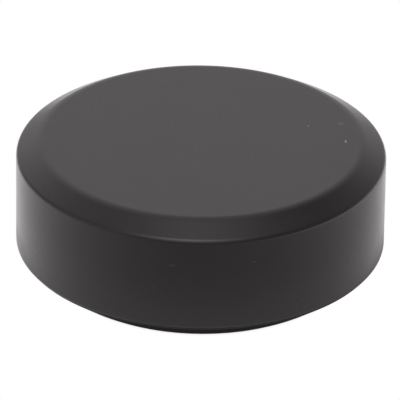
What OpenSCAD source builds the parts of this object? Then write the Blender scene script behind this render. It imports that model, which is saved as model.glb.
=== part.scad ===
// Dealer button: a plain round table marker, built as a weighted two-shell puck.
// Millimetres, +Z up. The origin is the centre of the face it rests on.

/* [Body] */
// Outside diameter of the side wall
body_d = 76.2; // [75:0.2:90]
// Height from the table to the top face
body_h = 28; // [26:0.1:34]
// Thickness of the side wall
wall_t = 2.6; // [2:0.1:3]
// Thickness of the top plate
top_t = 3; // [2.2:0.1:4]

/* [Edges] */
// How far the top chamfer comes in from the side wall
chamfer_w = 4.8; // [3:0.1:6]
// How far the top chamfer comes down from the top face
chamfer_h = 2.85; // [2:0.05:4]
// Rounding where the top face meets the chamfer
crown_r = 3.4; // [0.5:0.1:4]
// Rounding where the chamfer meets the side wall
shoulder_r = 1.2; // [0.2:0.1:1.5]
// Rounding along the lower edge of the side wall
hem_r = 0.6; // [0.2:0.1:0.9]
// Height of the side wall's lower edge above the table
hem_h = 4.9; // [4.6:0.1:6]

/* [Base cover] */
// Thickness of the cover's floor
floor_t = 2.4; // [1.8:0.1:3]
// Height of the register lip above the wall's lower edge
lip_h = 3; // [2:0.1:4]
// Thickness of the register lip
lip_t = 1.5; // [1:0.1:1.8]
// Gap all round between the register lip and the shell
lip_gap = 0.2; // [0.1:0.05:0.4]

/* [Foot pad] */
// Diameter of the pad
foot_d = 62.8; // [62:0.2:64.8]
// Thickness of the pad
foot_t = 1.4; // [1:0.1:2]
// How far the pad stands proud of the cover
foot_proud = 0.8; // [0.4:0.1:0.9]
// Thickness of the adhesive disc over the pad
tape_t = 0.2; // [0.1:0.05:0.3]

/* [Weight] */
// Diameter of the steel slug
slug_d = 44; // [36:0.5:44]
// Thickness of the steel slug
slug_t = 9; // [5:0.5:9.5]
// Thickness of the foam disc over the slug
foam_t = 2.5; // [2:0.5:4]

/* [Screws] */
// Number of cover screws
screw_n = 4; // [3:1:6]
// Radius of the circle the screws stand on
screw_ring = 28; // [27.8:0.1:28]
// Outside diameter of the screw thread
thread_d = 3; // [2.5:0.1:3.2]
// Length of the threaded shank
shank_l = 11; // [8:0.5:12]
// Diameter of the screw head
head_d = 5.6; // [5:0.1:5.8]
// Height of the screw head
head_h = 2; // [1.6:0.1:2]

/* [Ribs] */
// Number of stiffening ribs under the top plate
rib_n = 8; // [4:4:12]
// Thickness of each rib
rib_t = 1.4; // [1:0.1:2]
// Depth of each rib below the top plate
rib_h = 4.8; // [3:0.1:5]
// Radius of the ring that holds the foam down
ring_r = 14; // [10:0.5:15]

/* [Hidden] */
$fn = 96;
round_fn = 180;                      // facets of the large turned parts
corner_steps = 8;                    // segments in each rounded corner

// Shell
body_r = body_d / 2;
crown_edge_r = body_r - chamfer_w;   // where the top face meets the chamfer
chamfer_z = body_h - chamfer_h;      // height of the shoulder
ceiling_z = body_h - top_t;          // underside of the top plate
bore_r = body_r - wall_t;            // inside of the side wall

// Foot pad and base cover
foot_r = foot_d / 2;
tape_r = foot_r - 0.8;
recess_r = foot_r + 0.2;             // recess that takes the foot pad
land_r = recess_r + 0.9;             // lowest plastic edge of the cover
rim_r = body_r - hem_r;              // top of the cover's tapered rim
rim_h = 0.35;                        // upright band above the taper
recess_z = foot_t + tape_t;          // roof of the recess
floor_z = recess_z + floor_t;        // inside floor of the cover
lip_r = bore_r - lip_gap;
lip_z = hem_h + lip_h;

// Weight and foam
slug_r = slug_d / 2;
slug_z = floor_z + slug_t;
foam_r = slug_r - 3;
foam_z = slug_z + foam_t;
fence_r = slug_r + 0.2;              // inside of the fence round the slug
fence_t = 1;
fence_h = 4;

// Screws, with their seats in the cover and bosses in the shell
head_r = head_d / 2;
thread_r = thread_d / 2;
pitch = 1.1;
core_r = thread_r - 0.35;
tip_r = 0.3;
tip_l = 1.4;                         // tapered end of the shank
slot_l = head_r * 1.1;
slot_w = 0.7;
slot_depth = 1.1;
pad_r = 4.4;                         // raised seat round each screw
pad_z = floor_z + 1.6;
seat_z = recess_z + head_h + 0.2;    // face the screw head pulls on
head_hole_r = head_r + 0.3;
shank_hole_r = thread_r + 0.25;
boss_r = 3.4;
boss_z = pad_z + 0.1;
pilot_r = thread_r + 0.02;           // hole in each boss
pilot_mouth_r = thread_r + 0.4;      // hole's widened mouth
mouth_h = 0.5;
web_z = lip_z + 0.6;                 // underside of the web from boss to wall

// Overlaps that join parts, and the overrun of cuts
fuse = 0.5;
rib_fuse = 0.4;
overrun = 1;

// The chamfer's outward normal, and its line set in by the wall thickness
slope_normal = [chamfer_h, chamfer_w] / norm([chamfer_h, chamfer_w]);
slope_inset = slope_normal * [body_r, chamfer_z] - wall_t;
function behind_z(radius) = (slope_inset - slope_normal.x * radius) / slope_normal.y;
function behind_r(z) = (slope_inset - slope_normal.y * z) / slope_normal.x;

function unit(vec) = vec / norm(vec);

// Signed shortest turn from one angle to another
function turn(from, to) = let (diff = to - from)
    diff > 180 ? diff - 360 : diff < -180 ? diff + 360 : diff;

// Arc of the given radius in place of a corner between its two neighbours
function corner(point, prev, next, radius) = radius <= 0 ? [point] :
    let (to_prev = unit(prev - point),
         to_next = unit(next - point),
         half = acos(to_prev * to_next) / 2,
         centre = point + unit(to_prev + to_next) * (radius / sin(half)),
         start = point + to_prev * (radius / tan(half)) - centre,
         end = point + to_next * (radius / tan(half)) - centre,
         start_a = atan2(start.y, start.x),
         sweep = turn(start_a, atan2(end.y, end.x)))
    [for (i = [0:corner_steps])
        let (angle = start_a + sweep * i / corner_steps)
        centre + radius * [cos(angle), sin(angle)]];

// Rounds each corner of a profile; rows are [radius, z, rounding]
function flat(row) = [row.x, row.y];
function outline(rows) = let (count = len(rows)) [for (i = [0:count - 1])
    each corner(flat(rows[i]), flat(rows[(i + count - 1) % count]),
                flat(rows[(i + 1) % count]), rows[i].z)];

module lathe(rows) {
    rotate_extrude($fn = round_fn) polygon(outline(rows));
}

// Solid disc with its lower and upper edges rounded
module disc(radius, z0, z1, low_edge, high_edge) {
    lathe([[0, z0, 0], [radius, z0, low_edge], [radius, z1, high_edge], [0, z1, 0]]);
}

module tube(r_out, r_in, z0, z1) {
    translate([0, 0, z0]) difference() {
        cylinder(r = r_out, h = z1 - z0);
        translate([0, 0, -overrun]) cylinder(r = r_in, h = z1 - z0 + 2 * overrun);
    }
}

// Even spacing about the axis, starting half a step round from +X
module around(count) {
    for (i = [0:count - 1]) rotate([0, 0, 360 / count * (i + 0.5)]) children();
}

module screw_places() {
    around(screw_n) translate([screw_ring, 0, 0]) children();
}

module shell_cup() {
    lathe([[0, body_h, 0],
           [crown_edge_r, body_h, crown_r],
           [body_r, chamfer_z, shoulder_r],
           [body_r, hem_h, hem_r],
           [bore_r, hem_h, 0.3],
           [bore_r, behind_z(bore_r), 1],
           [behind_r(ceiling_z), ceiling_z, 1],
           [0, ceiling_z, 0]]);
}

// One-piece cup with its ribs, foam ring and screw bosses
module top_shell() {
    color([0.17, 0.17, 0.17]) difference() {
        union() {
            shell_cup();
            tube(ring_r + rib_t / 2, ring_r - rib_t / 2, foam_z, ceiling_z + fuse);
            around(rib_n) translate([ring_r, -rib_t / 2, ceiling_z - rib_h])
                cube([bore_r + rib_fuse - ring_r, rib_t, rib_h + rib_fuse]);
            screw_places() {
                translate([0, 0, boss_z]) cylinder(r = boss_r, h = ceiling_z + fuse - boss_z);
                translate([0, -rib_t / 2, web_z])
                    cube([bore_r + rib_fuse - screw_ring, rib_t, behind_z(bore_r) - web_z]);
            }
        }
        screw_places() translate([0, 0, boss_z - overrun]) cylinder(r = pilot_r, h = shank_l);
        screw_places() translate([0, 0, boss_z - 0.01])
            cylinder(r1 = pilot_mouth_r, r2 = pilot_r, h = mouth_h);
    }
}

// Tapered disc that closes the cup, with a lip, a fence for the slug and screw seats
module base_cover() {
    color([0.13, 0.13, 0.13]) difference() {
        union() {
            lathe([[0, recess_z, 0],
                   [recess_r, recess_z, 0],
                   [recess_r, foot_proud, 0.15],
                   [land_r, foot_proud, 0.3],
                   [rim_r, hem_h - rim_h, 0.2],
                   [rim_r, hem_h, 0.12],
                   [lip_r, hem_h, 0],
                   [lip_r, lip_z, 0.4],
                   [lip_r - lip_t, lip_z, 0.4],
                   [lip_r - lip_t, floor_z, 0.5],
                   [0, floor_z, 0]]);
            tube(fence_r + fence_t, fence_r, floor_z - fuse, floor_z + fence_h);
            screw_places() translate([0, 0, floor_z - fuse])
                cylinder(r = pad_r, h = pad_z - floor_z + fuse);
        }
        screw_places() translate([0, 0, recess_z - overrun])
            cylinder(r = head_hole_r, h = seat_z - recess_z + overrun);
        screw_places() translate([0, 0, recess_z])
            cylinder(r = shank_hole_r, h = pad_z - recess_z + overrun);
    }
}

// Steel slug with rounded edges
module weight_disc() {
    color([0.62, 0.63, 0.65]) disc(slug_r, floor_z, slug_z, 0.5, 0.5);
}

// Soft disc pressed between the slug and the shell's ring
module foam_pad() {
    color([0.3, 0.3, 0.32]) disc(foam_r, slug_z, foam_z, 0.3, 0.3);
}

// One screw, head down, its seat at z = 0; the thread is a stack of plain ridges
module screw() {
    difference() {
        rotate_extrude($fn = 48) polygon(concat(
            [[0, -head_h], [head_r * 0.62, -head_h], [head_r * 0.9, -head_h * 0.72],
             [head_r, -head_h * 0.35], [head_r, 0], [core_r, 0]],
            [for (i = [0:floor(shank_l / pitch) - 3]) each
                [[core_r, pitch * (i + 1.2)], [thread_r, pitch * (i + 1.5)],
                 [thread_r, pitch * (i + 1.6)], [core_r, pitch * (i + 1.9)]]],
            [[core_r, shank_l - tip_l], [tip_r, shank_l], [0, shank_l]]));
        // Cross recess
        for (angle = [0, 90]) rotate([0, 0, angle + 20])
            translate([-slot_l / 2, -slot_w / 2, -head_h - fuse])
                cube([slot_l, slot_w, slot_depth + fuse]);
    }
}

module cover_screws() {
    color([0.75, 0.74, 0.7]) screw_places() translate([0, 0, seat_z]) screw();
}

// Thin adhesive disc in the roof of the recess
module foot_adhesive() {
    color([0.85, 0.82, 0.7]) translate([0, 0, foot_t])
        cylinder(r = tape_r, h = tape_t, $fn = round_fn);
}

// Felt disc the button rests on
module foot_pad() {
    color([0.1, 0.1, 0.1]) disc(foot_r, 0, foot_t, 0.3, 0.15);
}

top_shell();
base_cover();
weight_disc();
foam_pad();
cover_screws();
foot_adhesive();
foot_pad();
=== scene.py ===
import math

import bmesh
import bpy
from mathutils import Matrix, Vector, noise


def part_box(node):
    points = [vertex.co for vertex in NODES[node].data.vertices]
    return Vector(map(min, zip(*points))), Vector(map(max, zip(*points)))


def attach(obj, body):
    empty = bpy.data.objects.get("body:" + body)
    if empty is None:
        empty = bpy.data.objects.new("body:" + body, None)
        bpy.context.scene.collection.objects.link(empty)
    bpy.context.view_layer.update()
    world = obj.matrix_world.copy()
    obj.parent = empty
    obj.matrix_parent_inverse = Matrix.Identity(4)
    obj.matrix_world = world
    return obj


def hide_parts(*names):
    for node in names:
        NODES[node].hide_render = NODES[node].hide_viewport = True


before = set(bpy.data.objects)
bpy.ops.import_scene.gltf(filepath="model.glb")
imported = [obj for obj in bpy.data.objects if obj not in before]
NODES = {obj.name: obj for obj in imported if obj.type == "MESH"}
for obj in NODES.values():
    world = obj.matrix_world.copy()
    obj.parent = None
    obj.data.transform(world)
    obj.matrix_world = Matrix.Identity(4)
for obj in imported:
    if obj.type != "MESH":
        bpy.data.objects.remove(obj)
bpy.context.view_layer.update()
MM = 0.001
SEG = 288

scene = bpy.context.scene
scene.view_settings.view_transform = "Standard"
scene.view_settings.look = "None"
scene.view_settings.exposure = 0.0
scene.view_settings.gamma = 1.0

# ------------------------------------------------------------------ sizes, from the frame
shell_lo, shell_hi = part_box("top_shell")
base_lo, base_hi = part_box("base_cover")
foot_lo, foot_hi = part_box("foot_pad")
slug_lo, slug_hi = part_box("weight_disc")
foam_lo, foam_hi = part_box("foam_pad")
tape_lo, tape_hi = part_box("foot_adhesive")
screw_lo, screw_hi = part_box("cover_screws")

R = shell_hi.x / MM                 # everything below is in millimetres
H = shell_hi.z / MM
HEM_Z = shell_lo.z / MM
LIP_Z = base_hi.z / MM
PROUD = base_lo.z / MM
FOOT_R = foot_hi.x / MM
FOOT_T = foot_hi.z / MM
RECESS_Z = tape_hi.z / MM
FLOOR_Z = slug_lo.z / MM
SLUG_R = slug_hi.x / MM
FOAM_Z = foam_hi.z / MM

CHAMFER_W, CHAMFER_H = 4.8, 2.85
CROWN_R, SHOULDER_R, HEM_R = 3.4, 1.2, 0.6
WALL_T, TOP_T = 2.6, 3.0
CEIL_Z = H - TOP_T
BORE_R = R - WALL_T
RIM_R = R - HEM_R
LIP_R, LIP_T = BORE_R - 0.2, 1.5
RECESS_R = FOOT_R + 0.2
LAND_R = RECESS_R + 0.9
FENCE_R, FENCE_T = SLUG_R + 0.2, 1.0
PAD_R, PAD_Z = 4.4, FLOOR_Z + 1.6
BOSS_R, BOSS_Z = 3.4, FLOOR_Z + 1.7
SCREW_RING = 28.0
HEAD_R, THREAD_R = 2.8, 1.5
SEAT_Z = RECESS_Z + 2.2
RIB_T, RIB_H, RING_R = 1.4, 4.8, 14.0


# ------------------------------------------------------------------ mesh helpers
def arc_corner(p, a, b, r, n):
    p, a, b = Vector(p), Vector(a), Vector(b)
    if r <= 0:
        return [p]
    u, w = (a - p).normalized(), (b - p).normalized()
    half = math.acos(max(-1, min(1, u.dot(w)))) / 2
    c = p + (u + w).normalized() * (r / math.sin(half))
    s, e = p + u * (r / math.tan(half)) - c, p + w * (r / math.tan(half)) - c
    a0, a1 = math.atan2(s.y, s.x), math.atan2(e.y, e.x)
    d = (a1 - a0 + math.pi) % (2 * math.pi) - math.pi
    return [c + Vector((math.cos(a0 + d * i / n), math.sin(a0 + d * i / n))) * r for i in range(n + 1)]


def outline(corners, step=2.4, hold=0.12):
    """corners: (r, z, radius, segments). Rounds them and adds holding rings beside each one."""
    runs = []
    k = len(corners)
    for i, (x, y, r, n) in enumerate(corners):
        a, b = corners[(i - 1) % k], corners[(i + 1) % k]
        runs.append(arc_corner((x, y), a[:2], b[:2], r, n) if r > 0 else [Vector((x, y))])
    out = []
    for i, run in enumerate(runs):
        out += run
        if i + 1 == len(runs):
            break
        s, e = run[-1], runs[i + 1][0]
        length = (e - s).length
        marks = set()
        if length > 4 * hold:
            marks |= {hold, length - hold}
            n = max(1, round((length - 2 * hold) / step))
            marks |= {hold + (length - 2 * hold) * j / n for j in range(n + 1)}
        last = -1
        for m in sorted(marks):
            if m - last > 1e-4:
                out.append(s + (e - s) * (m / length))
                last = m
    return [(v.x, v.y) for v in out]


def lathe_bm(profile, seg=SEG):
    """Closed surface of revolution. The profile starts and ends on the axis, outside face first."""
    bm = bmesh.new()
    rings = []
    for r, z in profile:
        if r < 1e-6:
            rings.append([bm.verts.new((0, 0, z * MM))])
        else:
            rings.append([bm.verts.new((r * MM * math.cos(2 * math.pi * i / seg),
                                        r * MM * math.sin(2 * math.pi * i / seg), z * MM)) for i in range(seg)])
    for a, b in zip(rings, rings[1:]):
        for i in range(seg):
            j = (i + 1) % seg
            if len(a) == 1:
                bm.faces.new((a[0], b[i], b[j]))
            elif len(b) == 1:
                bm.faces.new((a[j], a[i], b[0]))
            else:
                bm.faces.new((a[i], b[i], b[j], a[j]))
    bmesh.ops.recalc_face_normals(bm, faces=bm.faces)
    return bm


def ring_lathe_bm(profile, seg=SEG, turn=0.37):
    """Closed surface of revolution of a profile that stays off the axis, turned by part of a segment
    so that its corners miss the edges of the body it joins."""
    bm = bmesh.new()
    rings = [[bm.verts.new((r * MM * math.cos(2 * math.pi * (i + turn) / seg), r * MM * math.sin(2 * math.pi * (i + turn) / seg), z * MM))
              for i in range(seg)] for r, z in profile]
    k = len(rings)
    for n in range(k):
        a, b = rings[n], rings[(n + 1) % k]
        for i in range(seg):
            j = (i + 1) % seg
            bm.faces.new((a[i], b[i], b[j], a[j]))
    bmesh.ops.recalc_face_normals(bm, faces=bm.faces)
    return bm


def to_object(bm, name, angle=32):
    mesh = bpy.data.meshes.new(name)
    bm.to_mesh(mesh)
    bm.free()
    mesh.shade_smooth()
    mesh.set_sharp_from_angle(angle=math.radians(angle))
    ob = bpy.data.objects.new(name, mesh)
    scene.collection.objects.link(ob)
    return ob


def cylinder_bm(r, z0, z1, x=0.0, y=0.0, seg=64, r2=None, turn=0.0):
    bm = bmesh.new()
    r2 = r if r2 is None else r2
    lo = [bm.verts.new(((x + r * math.cos(2 * math.pi * (i + .5) / seg)) * MM, (y + r * math.sin(2 * math.pi * (i + .5) / seg)) * MM, z0 * MM)) for i in range(seg)]
    hi = [bm.verts.new(((x + r2 * math.cos(2 * math.pi * (i + .5) / seg)) * MM, (y + r2 * math.sin(2 * math.pi * (i + .5) / seg)) * MM, z1 * MM)) for i in range(seg)]
    for i in range(seg):
        j = (i + 1) % seg
        bm.faces.new((lo[i], lo[j], hi[j], hi[i]))
    bm.faces.new(lo[::-1])
    bm.faces.new(hi)
    return bm


def bar_bm(x0, x1, half_w, z0, z1, turn):
    bm = bmesh.new()
    bmesh.ops.create_cube(bm, size=1.0)
    m = Matrix.Rotation(turn, 4, "Z") @ Matrix.Translation(((x0 + x1) / 2 * MM, 0, (z0 + z1) / 2 * MM)) \
        @ Matrix.Diagonal(((x1 - x0) * MM, 2 * half_w * MM, (z1 - z0) * MM, 1))
    bmesh.ops.transform(bm, matrix=m, verts=bm.verts)
    return bm


def combine(ob, parts, operation):
    """Adds or cuts closed solids with an exact boolean and applies it."""
    for bm in parts:
        tool = to_object(bm, "tool")
        mod = ob.modifiers.new("b", "BOOLEAN")
        mod.operation, mod.object, mod.solver = operation, tool, "MANIFOLD"
        dg = bpy.context.evaluated_depsgraph_get()
        mesh = bpy.data.meshes.new_from_object(ob.evaluated_get(dg))
        ob.modifiers.clear()
        old = ob.data
        ob.data = mesh
        mesh.name = ob.name
        bpy.data.meshes.remove(old)
        bpy.data.objects.remove(tool)


def finish_mesh(ob, angle=32):
    # welds the hair-thin slivers that the booleans leave
    bm = bmesh.new()
    bm.from_mesh(ob.data)
    bmesh.ops.remove_doubles(bm, verts=bm.verts, dist=0.002 * MM)
    bmesh.ops.dissolve_degenerate(bm, dist=0.001 * MM, edges=bm.edges)
    bm.to_mesh(ob.data)
    bm.free()
    ob.data.shade_smooth()
    ob.data.set_sharp_from_angle(angle=math.radians(angle))


def screw_spots():
    for i in range(4):
        a = math.radians(90 * (i + 0.5))
        yield SCREW_RING * math.cos(a), SCREW_RING * math.sin(a), a


# ------------------------------------------------------------------ top shell
slope = Vector((CHAMFER_H, CHAMFER_W)).normalized()
slope_k = slope.dot(Vector((R, H - CHAMFER_H))) - WALL_T
behind_z = (slope_k - slope.x * BORE_R) / slope.y
behind_r = (slope_k - slope.y * CEIL_Z) / slope.x

shell_profile = outline([
    (0, H, 0, 0),
    (R - CHAMFER_W, H, CROWN_R, 14),
    (R, H - CHAMFER_H, SHOULDER_R, 12),
    (R, HEM_Z, HEM_R, 12),
    (BORE_R, HEM_Z, 0.3, 5),
    (BORE_R, behind_z, 1.0, 5),
    (behind_r, CEIL_Z, 1.0, 5),
    (0, CEIL_Z, 0, 0)])
shell = to_object(lathe_bm(shell_profile), "top_shell_moulding")
inside = [ring_lathe_bm([(RING_R - RIB_T / 2, FOAM_Z), (RING_R + RIB_T / 2, FOAM_Z),
                         (RING_R + RIB_T / 2, CEIL_Z + 0.5), (RING_R - RIB_T / 2, CEIL_Z + 0.5)], 144)]
for i in range(8):
    inside.append(bar_bm(RING_R, BORE_R + 0.4, RIB_T / 2, CEIL_Z - RIB_H, CEIL_Z - 0.4 + 0.4 + 0.3, math.radians(45 * (i + 0.5))))
for x, y, a in screw_spots():
    inside.append(cylinder_bm(BOSS_R, BOSS_Z, CEIL_Z + 0.5, x, y, 72))
    inside.append(bar_bm(SCREW_RING, BORE_R + 0.4, RIB_T / 2, LIP_Z + 0.6, behind_z, a))
combine(shell, inside, "UNION")
combine(shell, [cylinder_bm(THREAD_R + 0.02, BOSS_Z - 1, BOSS_Z - 1 + 11, x, y, 48) for x, y, a in screw_spots()], "DIFFERENCE")
finish_mesh(shell)

# ------------------------------------------------------------------ base cover
base_profile = outline([
    (0, RECESS_Z, 0, 0),
    (RECESS_R, RECESS_Z, 0, 0),
    (RECESS_R, PROUD, 0.15, 5),
    (LAND_R, PROUD, 0.3, 6),
    (RIM_R, HEM_Z - 0.35, 0.2, 6),
    (RIM_R, HEM_Z, 0.12, 5),
    (LIP_R, HEM_Z, 0, 0),
    (LIP_R, LIP_Z, 0.4, 5),
    (LIP_R - LIP_T, LIP_Z, 0.4, 5),
    (LIP_R - LIP_T, FLOOR_Z, 0.5, 5),
    (0, FLOOR_Z, 0, 0)])
base = to_object(lathe_bm(base_profile), "base_cover_moulding")
combine(base, [ring_lathe_bm([(FENCE_R, FLOOR_Z - 0.5), (FENCE_R + FENCE_T, FLOOR_Z - 0.5),
                              (FENCE_R + FENCE_T, FLOOR_Z + 4), (FENCE_R, FLOOR_Z + 4)], 192)], "UNION")
combine(base, [cylinder_bm(PAD_R, FLOOR_Z - 0.5, PAD_Z, x, y, 72) for x, y, a in screw_spots()], "UNION")
combine(base, [cylinder_bm(HEAD_R + 0.3, RECESS_Z - 1, SEAT_Z, x, y, 72) for x, y, a in screw_spots()], "DIFFERENCE")
combine(base, [cylinder_bm(THREAD_R + 0.25, RECESS_Z, PAD_Z + 1, x, y, 48) for x, y, a in screw_spots()], "DIFFERENCE")
finish_mesh(base)

# ------------------------------------------------------------------ felt foot
felt_profile = [q for i, q in enumerate(outline([
    (0, 0, 0, 0),
    (FOOT_R, 0, 0.12, 4),
    (FOOT_R, FOOT_T, 0.15, 4),
    (0, FOOT_T, 0, 0)], step=0.6, hold=0.1)) if q[1] < FOOT_T - 1e-6 or q[0] > FOOT_R - 0.5 or i % 5 == 0 or q[0] < 1e-6]
bm = lathe_bm(felt_profile)
for v in bm.verts:
    # pressed fibres: a few hundredths of a millimetre of relief, rougher on the cut edge
    q = v.co / MM
    r = math.hypot(q.x, q.y)
    d = 0.045 * noise.noise(q * 0.8) + 0.035 * noise.noise(q * 2.1 + Vector((7, 3, 1))) + 0.02 * noise.noise(q * 4.7)
    edge = max(0.0, 1 - (FOOT_R - r) / 0.5)
    if q.z < 0.5 * FOOT_T:
        q.z = min(max(q.z + 0.03 + d, 0.0), 0.6 * FOOT_T)
    if edge > 0 and r > 1:
        k = 1 + edge * 1.4 * d / r
        q.x, q.y = q.x * k, q.y * k
    v.co = q * MM
felt = to_object(bm, "felt_foot", 60)


# ------------------------------------------------------------------ materials
def new_material(name):
    m = bpy.data.materials.new(name)
    m.use_nodes = True
    m.node_tree.nodes.clear()
    return m, Nodes(m.node_tree)


class Nodes:
    def __init__(self, tree):
        self.t = tree

    def add(self, kind, inputs=None, **props):
        n = self.t.nodes.new(kind)
        for k, v in props.items():
            setattr(n, k, v)
        for k, v in (inputs or {}).items():
            self.put(n.inputs[k], v)
        return n

    def put(self, socket, v):
        if isinstance(v, bpy.types.NodeSocket):
            self.t.links.new(v, socket)
        else:
            socket.default_value = v

    def math(self, op, a, b=0.0, c=0.0, clamp=False):
        n = self.add("ShaderNodeMath", operation=op, use_clamp=clamp)
        self.put(n.inputs[0], a)
        self.put(n.inputs[1], b)
        self.put(n.inputs[2], c)
        return n.outputs[0]

    def mix(self, f, a, b):
        n = self.add("ShaderNodeMix", data_type="RGBA")
        self.put(n.inputs[0], f)
        self.put(n.inputs[6], a)
        self.put(n.inputs[7], b)
        return n.outputs[2]

    def mixf(self, f, a, b):
        n = self.add("ShaderNodeMix", data_type="FLOAT")
        self.put(n.inputs[0], f)
        self.put(n.inputs[2], a)
        self.put(n.inputs[3], b)
        return n.outputs[0]

    def ramp(self, f, stops, interp="LINEAR"):
        n = self.add("ShaderNodeValToRGB")
        n.color_ramp.interpolation = interp
        el = n.color_ramp.elements
        while len(el) > 1:
            el.remove(el[-1])
        for i, (p, v) in enumerate(stops):
            e = el[0] if i == 0 else el.new(p)
            e.position = p
            e.color = (v, v, v, 1) if isinstance(v, (int, float)) else (*v, 1)
        self.put(n.inputs[0], f)
        return n.outputs[0]

    def noise(self, vec, scale, detail=3.0, rough=0.5, dim="3D"):
        n = self.add("ShaderNodeTexNoise", {"Vector": vec, "Scale": scale, "Detail": detail, "Roughness": rough}, noise_dimensions=dim)
        return n.outputs["Fac"]

    def bump(self, height, dist, strength=1.0, normal=None):
        n = self.add("ShaderNodeBump", {"Height": height, "Distance": dist, "Strength": strength})
        if normal is not None:
            self.put(n.inputs["Normal"], normal)
        return n.outputs[0]

    def position(self):
        """Object position in millimetres, and its polar radius and angle."""
        tc = self.add("ShaderNodeTexCoord")
        v = self.add("ShaderNodeVectorMath", operation="SCALE")
        self.put(v.inputs[0], tc.outputs["Object"])
        self.put(v.inputs["Scale"], 1000.0)
        s = self.add("ShaderNodeSeparateXYZ", {0: v.outputs[0]})
        x, y, z = s.outputs
        r = self.math("SQRT", self.math("ADD", self.math("MULTIPLY", x, x), self.math("MULTIPLY", y, y)))
        return v.outputs[0], x, y, z, r


def out(n, shader):
    o = n.add("ShaderNodeOutputMaterial")
    n.put(o.inputs["Surface"], shader)


def plastic(name, color, rough, ior, grain, dust=0.0, marks_at=()):
    """Moulded plastic with a fine spark-eroded grain, turning marks, patchy sheen and a little dust.
    marks_at: lint and scuffs as (centre, long axis, half length, half width, strength)."""
    m, n = new_material(name)
    p, x, y, z, r = n.position()
    # fine mould texture: cells about 0.12 mm with finer tooth on top
    fine = n.noise(p, 7.0, 2.0, 0.55)
    tooth = n.noise(p, 18.0, 1.0, 0.5)
    # turning marks in the mould run round the axis
    ring = n.add("ShaderNodeCombineXYZ", {0: n.math("MULTIPLY", r, 3.2), 1: n.math("MULTIPLY", z, 3.2), 2: n.math("MULTIPLY", n.math("ARCTAN2", y, x), 0.5)}).outputs[0]
    marks = n.noise(ring, 1.6, 4.0, 0.62)
    # broad, faint patches where handling has polished the surface
    patch = n.noise(p, 0.06, 3.0, 0.55)
    smear = n.noise(p, 0.35, 4.0, 0.6)
    height = n.math("ADD", n.math("MULTIPLY", fine, 0.65), n.math("MULTIPLY", tooth, 0.35))
    b1 = n.bump(height, grain * MM, 1.0)
    b2 = n.bump(marks, 0.0014 * MM, 1.0, b1)
    rgh = n.math("ADD", rough, n.math("MULTIPLY", n.math("SUBTRACT", patch, 0.5), 0.10))
    rgh = n.math("ADD", rgh, n.math("MULTIPLY", n.math("SUBTRACT", marks, 0.5), 0.05))
    rgh = n.math("ADD", rgh, n.math("MULTIPLY", n.math("SUBTRACT", smear, 0.5), 0.06))
    tint = n.math("ADD", 0.90, n.math("MULTIPLY", patch, 0.20))
    col = n.mix(n.math("MULTIPLY", smear, 0.25), (*color, 1), (*[c * 1.25 for c in color], 1))
    colv = n.add("ShaderNodeVectorMath", operation="SCALE")
    n.put(colv.inputs[0], col)
    n.put(colv.inputs["Scale"], tint)
    final = colv.outputs[0]
    if dust > 0:
        # single specks of dust, a fifth of a millimetre across, scattered over the whole surface
        vor = n.add("ShaderNodeTexVoronoi", {"Vector": p, "Scale": 0.22, "Randomness": 1.0}, feature="F1")
        speck = n.math("LESS_THAN", vor.outputs["Distance"], 0.022)
        keep = n.math("GREATER_THAN", n.add("ShaderNodeSeparateXYZ", {0: vor.outputs["Color"]}).outputs[0], 0.86)
        f = n.math("MULTIPLY", n.math("MULTIPLY", speck, keep), dust)
        final = n.mix(f, final, (0.42, 0.40, 0.38, 1))
        rgh = n.mixf(f, rgh, 0.9)
    for centre, axis, half_l, half_w, strength in marks_at:
        off = n.add("ShaderNodeVectorMath", {0: p, 1: centre}, operation="SUBTRACT").outputs[0]
        along = n.add("ShaderNodeVectorMath", {0: off, 1: axis}, operation="DOT_PRODUCT").outputs["Value"]
        total = n.add("ShaderNodeVectorMath", {0: off, 1: off}, operation="DOT_PRODUCT").outputs["Value"]
        along = n.math("MULTIPLY", along, along)
        d = n.math("SQRT", n.math("ADD", n.math("DIVIDE", along, half_l ** 2), n.math("DIVIDE", n.math("SUBTRACT", total, along), half_w ** 2)))
        f = n.add("ShaderNodeMapRange", {"Value": d, "From Min": 0.5, "From Max": 1.3, "To Min": strength, "To Max": 0.0},
                  interpolation_type="SMOOTHSTEP").outputs[0]
        final = n.mix(f, final, (0.42, 0.40, 0.38, 1))
    bs = n.add("ShaderNodeBsdfPrincipled", {"Base Color": final, "Roughness": rgh, "IOR": ior, "Normal": b2})
    out(n, bs.outputs[0])
    return m


def felt_material(name):
    m, n = new_material(name)
    p, x, y, z, r = n.position()
    warp = n.add("ShaderNodeTexNoise", {"Vector": p, "Scale": 1.3, "Detail": 3.0}).outputs["Color"]
    pv = n.add("ShaderNodeVectorMath", operation="ADD")
    n.put(pv.inputs[0], p)
    n.put(pv.inputs[1], warp)
    a = n.add("ShaderNodeTexWave", {"Vector": pv.outputs[0], "Scale": 4.0, "Distortion": 9.0, "Detail": 3.0, "Detail Scale": 2.2}, wave_type="BANDS", bands_direction="DIAGONAL").outputs["Fac"]
    b = n.noise(p, 9.0, 4.0, 0.7)
    c = n.noise(p, 0.5, 3.0)
    h = n.math("ADD", n.math("MULTIPLY", a, 0.5), n.math("MULTIPLY", b, 0.8))
    col = n.mix(n.math("MULTIPLY", n.math("SUBTRACT", h, 0.42), 2.2, clamp=True), (0.004, 0.004, 0.004, 1), (0.042, 0.041, 0.040, 1))
    col = n.mix(n.math("MULTIPLY", c, 0.35), col, (0.011, 0.011, 0.011, 1))
    bs = n.add("ShaderNodeBsdfPrincipled", {"Base Color": col, "Roughness": 0.95, "Specular IOR Level": 0.10,
                                            "Sheen Weight": 0.12, "Sheen Roughness": 0.6, "Normal": n.bump(h, 0.16 * MM)})
    n.put(bs.inputs["Sheen Tint"], (0.25, 0.25, 0.25, 1))
    out(n, bs.outputs[0])
    return m


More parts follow.
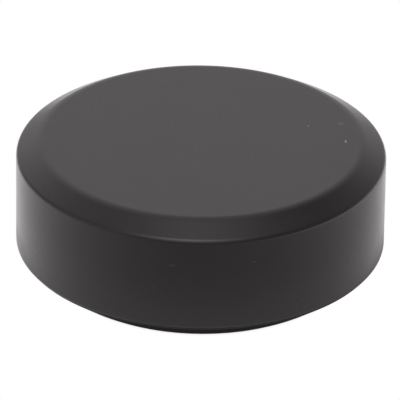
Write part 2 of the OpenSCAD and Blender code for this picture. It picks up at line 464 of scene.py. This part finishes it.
def steel_material(name, base, rough, scale=3.0):
    """Zinc plated steel: crystalline patches, fine scuffs and a slight yellow-blue passivation tint."""
    m, n = new_material(name)
    p, x, y, z, r = n.position()
    cells = n.add("ShaderNodeTexVoronoi", {"Vector": p, "Scale": scale * 0.4}, feature="F1").outputs["Distance"]
    scuff = n.noise(p, scale * 4, 5.0, 0.7)
    patch = n.noise(p, 0.12, 2.0)
    col = n.mix(patch, (*base, 1), (base[0] * 1.06, base[1] * 1.02, base[2] * 0.90, 1))
    rgh = n.math("ADD", n.math("ADD", rough, n.math("MULTIPLY", cells, 0.08)), n.math("MULTIPLY", scuff, 0.12))
    bs = n.add("ShaderNodeBsdfPrincipled", {"Base Color": col, "Metallic": 1.0, "Roughness": rgh, "Normal": n.bump(scuff, 0.006 * MM)})
    out(n, bs.outputs[0])
    return m


def foam_material(name):
    m, n = new_material(name)
    p, x, y, z, r = n.position()
    cells = n.add("ShaderNodeTexVoronoi", {"Vector": p, "Scale": 3.0}, feature="DISTANCE_TO_EDGE").outputs["Distance"]
    small = n.noise(p, 6.0, 3.0)
    col = n.mix(n.math("MULTIPLY", cells, 2.0, clamp=True), (0.03, 0.03, 0.034, 1), (0.075, 0.075, 0.082, 1))
    h = n.math("SUBTRACT", n.math("MULTIPLY", small, 0.4), n.math("MULTIPLY", cells, 1.0))
    bs = n.add("ShaderNodeBsdfPrincipled", {"Base Color": col, "Roughness": 0.88, "Normal": n.bump(h, 0.12 * MM)})
    out(n, bs.outputs[0])
    return m


def film_material(name):
    m, n = new_material(name)
    p, x, y, z, r = n.position()
    g = n.noise(p, 1.2, 4.0, 0.6)
    col = n.mix(g, (0.62, 0.57, 0.40, 1), (0.78, 0.74, 0.58, 1))
    bs = n.add("ShaderNodeBsdfPrincipled", {"Base Color": col, "Roughness": n.math("ADD", 0.35, n.math("MULTIPLY", g, 0.2)),
                                            "Subsurface Weight": 0.15, "Subsurface Scale": 0.0004, "Normal": n.bump(g, 0.01 * MM)})
    out(n, bs.outputs[0])
    return m


def on_wall(bearing, z):
    """A point on the side wall, its bearing in degrees from the front towards the right, and the tangent there."""
    a = math.radians(bearing)
    return (R * math.sin(a), -R * math.cos(a), z), Vector((math.cos(a), math.sin(a), 0))


w1, t1 = on_wall(-8.2, 19.5)
w2, t2 = on_wall(16.85, 19.95)
MARKS = [
    ((29.65, 0.25, H), (0, 1, 0), 0.55, 0.19, 0.42),
    ((22.05, 6.8, H), (0, 1, 0), 0.50, 0.2, 0.12),
    ((28.85, 8.0, H), (1, 0, 0), 0.60, 0.5, 0.08),
    (w1, (t1 + Vector((0, 0, 0.22))).normalized(), 0.75, 0.25, 0.030),
    (w2, (t2 + Vector((0, 0, -0.5))).normalized(), 0.38, 0.26, 0.036),
]
shell_mat = plastic("shell_plastic", (0.0108, 0.0092, 0.0096), 0.28, 1.335, 0.0045, dust=0.35, marks_at=MARKS)
base_mat = plastic("base_plastic", (0.0070, 0.0060, 0.0063), 0.40, 1.33, 0.007)
felt_mat = felt_material("felt")


def assign(ob, mat):
    ob.data.materials.clear()
    ob.data.materials.append(mat)


assign(shell, shell_mat)
assign(base, base_mat)
assign(felt, felt_mat)
assign(NODES["weight_disc"], steel_material("weight_steel", (0.55, 0.56, 0.58), 0.30))
assign(NODES["cover_screws"], steel_material("screw_steel", (0.62, 0.61, 0.58), 0.24, 6.0))
assign(NODES["foam_pad"], foam_material("foam"))
assign(NODES["foot_adhesive"], film_material("adhesive"))

for ob, node in ((shell, "top_shell"), (base, "base_cover"), (felt, "foot_pad")):
    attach(ob, "root")
    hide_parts(node)

# ------------------------------------------------------------------ floor: a white light table whose glow round the button is painted light and shade, brighter in places, with dim rings of painted shadow under the rim
TINT = (1.0, 0.965, 0.975)           # the light is very slightly warm
GLOW = [  # inner and outer radius in mm, bearing of the brighter side (0 back, 90 right) or None, strength, edge softness
    (42, 60, 0, 1.70, 0.12), (42, 60, 90, 1.19, 0.12), (42, 60, 180, 1.08, 0.12),
    (42, 60, -90, 1.42, 0.12), (60, 100, 0, 1.47, 0.12), (60, 100, 90, 1.10, 0.12),
    (60, 100, 180, 0.67, 0.12), (60, 100, -90, 1.36, 0.12), (100, 200, 0, 0.98, 0.12),
    (100, 200, 90, 2.78, 0.12), (100, 200, 180, 0.67, 0.12), (100, 200, -90, 1.78, 0.12),
    (200, 600, 0, 0.37, 0.12), (200, 600, 90, 2.45, 0.12), (200, 600, -90, 0.89, 0.12),
    # the dim rings from 24 to 34 mm lie under the rim and are painted shadow
    (600, 2500, None, 0.66, 0.12), (24, 31, None, 0.15, 0.015), (31, 34, None, 0.07, 0.015),
    (38, 41, 90, 0.03, 0.015), (38, 41, 180, 0.68, 0.015), (38, 41, -90, 1.73, 0.015),
    (41, 45, 180, 1.08, 0.015), (100, 200, -40, 0.36, 0.12),
]
bm = bmesh.new()
bmesh.ops.create_circle(bm, cap_ends=True, segments=96, radius=3.0)
floor = to_object(bm, "floor")
floor.location.z = -0.00002
floor_mat, n = new_material("floor_painted_glow")
pos = n.add("ShaderNodeNewGeometry")
fx, fy, fz = n.add("ShaderNodeSeparateXYZ", {0: pos.outputs["Position"]}).outputs
fr = n.math("MULTIPLY", n.math("SQRT", n.math("ADD", n.math("MULTIPLY", fx, fx), n.math("MULTIPLY", fy, fy))), 1000.0)
glow = 0.0
for r0, r1, az, s, soft in GLOW:
    rise = n.add("ShaderNodeMapRange", {"Value": fr, "From Min": r0 * (1 - soft), "From Max": r0 * (1 + soft)}, interpolation_type="SMOOTHSTEP").outputs[0]
    fall = n.add("ShaderNodeMapRange", {"Value": fr, "From Min": r1 * (1 - soft), "From Max": r1 * (1 + soft)}, interpolation_type="SMOOTHSTEP").outputs[0]
    zone = n.math("MULTIPLY", n.math("MULTIPLY", rise, n.math("SUBTRACT", 1.0, fall)), s)
    if az is not None:
        a = math.radians(az)
        c = n.math("DIVIDE", n.math("ADD", n.math("MULTIPLY", fx, 1000 * math.sin(a)), n.math("MULTIPLY", fy, 1000 * math.cos(a))), n.math("ADD", fr, 0.001))
        c = n.math("MAXIMUM", c, 0.0)
        zone = n.math("MULTIPLY", zone, n.math("MULTIPLY", c, c))
    glow = n.math("ADD", zone, glow)
# the sheet itself is burnt out to white, with only a thin painted shadow where the foot touches it
painted_contact_shadow = n.add("ShaderNodeMapRange", {"Value": fr, "From Min": FOOT_R, "From Max": FOOT_R + 0.8, "To Min": 0.90, "To Max": 1.0},
                interpolation_type="SMOOTHSTEP").outputs[0]
seen = n.add("ShaderNodeLightPath").outputs["Is Camera Ray"]
lamp = n.add("ShaderNodeEmission", {"Color": n.mix(seen, (*TINT, 1), (1, 1, 1, 1)), "Strength": n.mixf(seen, glow, painted_contact_shadow)})
out(n, lamp.outputs[0])
floor.data.materials.append(floor_mat)

# ------------------------------------------------------------------ light: a white studio tent, brighter panels over and behind
PANELS = [  # bearing (0 back, 90 right, 180 camera side), elevation, tightness, strength
    (0, 14, 9, 0.42), (35, 14, 9, 0.64), (-35, 14, 9, 0.62), (70, 14, 9, 0.30), (-70, 14, 9, 0.36),
    (110, 14, 9, 0.37), (-110, 14, 9, 1.03), (-150, 14, 9, 0.41), (180, 14, 9, 0.41),
    (0, 42, 9, 0.78), (-45, 42, 9, 0.69), (-135, 42, 9, 0.09), (180, 42, 9, 0.93),
    (0, 66, 14, 0.40), (120, 66, 14, 0.46), (-120, 66, 14, 0.28), (0, 90, 14, 0.63), (0, 78, 40, 0.40),
    (172, 50, 40, 1.12), (188, 50, 40, 1.61), (204, 50, 40, 1.13), (172, 68, 40, 1.73),
    (188, 68, 40, 1.87), (204, 68, 40, 1.53), (188, 34, 40, 0.29), (220, 60, 40, 0.89),
    (0, 2, 60, 0.23), (60, 2, 60, 1.45),
]
world = bpy.data.worlds.new("studio")
scene.world = world
world.use_nodes = True
world.node_tree.nodes.clear()
w = Nodes(world.node_tree)
ray = w.add("ShaderNodeVectorMath", {0: w.add("ShaderNodeTexCoord").outputs["Generated"]}, operation="NORMALIZE").outputs[0]
sx, sy, sz = w.add("ShaderNodeSeparateXYZ", {0: ray}).outputs
sky = w.math("MULTIPLY", w.math("MULTIPLY", sz, -8.0, clamp=True), 0.8)       # pale ground for views from below
for az, el, k, s in PANELS:
    az, el = math.radians(az), math.radians(el)
    d = w.add("ShaderNodeVectorMath", {0: ray, 1: (math.sin(az) * math.cos(el), math.cos(az) * math.cos(el), math.sin(el))}, operation="DOT_PRODUCT").outputs["Value"]
    sky = w.math("ADD", sky, w.math("MULTIPLY", w.math("EXPONENT", w.math("MULTIPLY", w.math("SUBTRACT", d, 1.0), k)), s))
seen = w.add("ShaderNodeLightPath").outputs["Is Camera Ray"]
bg = w.add("ShaderNodeBackground", {"Color": w.mix(seen, (*TINT, 1), (1, 1, 1, 1)), "Strength": w.mixf(seen, sky, 1.0)})
wo = w.add("ShaderNodeOutputWorld")
w.put(wo.inputs["Surface"], bg.outputs[0])

# ------------------------------------------------------------------ camera
ELEV, DIST, LENS, ROLL = math.radians(28.746), 33 * 38.1 * MM, 547.57, math.radians(0.84)
aim = Vector((0, 0, H / 2 * MM))
backv = Vector((0, -math.cos(ELEV), math.sin(ELEV)))
cam_data = bpy.data.cameras.new("camera")
cam_data.sensor_width = 36.0
cam_data.lens = LENS
cam_data.clip_start, cam_data.clip_end = 0.01, 50
cam_data.shift_x, cam_data.shift_y = -0.00140, -0.00096
cam = bpy.data.objects.new("camera", cam_data)
rot = (-backv).to_track_quat("-Z", "Y").to_matrix().to_4x4()
cam.matrix_world = Matrix.Translation(aim + backv * DIST) @ rot @ Matrix.Rotation(ROLL, 4, "Z")
scene.collection.objects.link(cam)
scene.camera = cam

# the floor is left out of views from below it, so that the underside can be seen
hide = floor.driver_add("hide_render")
for mod in list(hide.modifiers):
    hide.modifiers.remove(mod)
for height, hidden in ((-0.05, 1.0), (0.0, 0.0)):
    key = hide.keyframe_points.insert(height, hidden)
    key.interpolation = "LINEAR"
hide.driver.type = "SUM"
var = hide.driver.variables.new()
var.name, var.type = "height", "TRANSFORMS"
var.targets[0].id = cam
var.targets[0].transform_type = "LOC_Z"
var.targets[0].transform_space = "WORLD_SPACE"
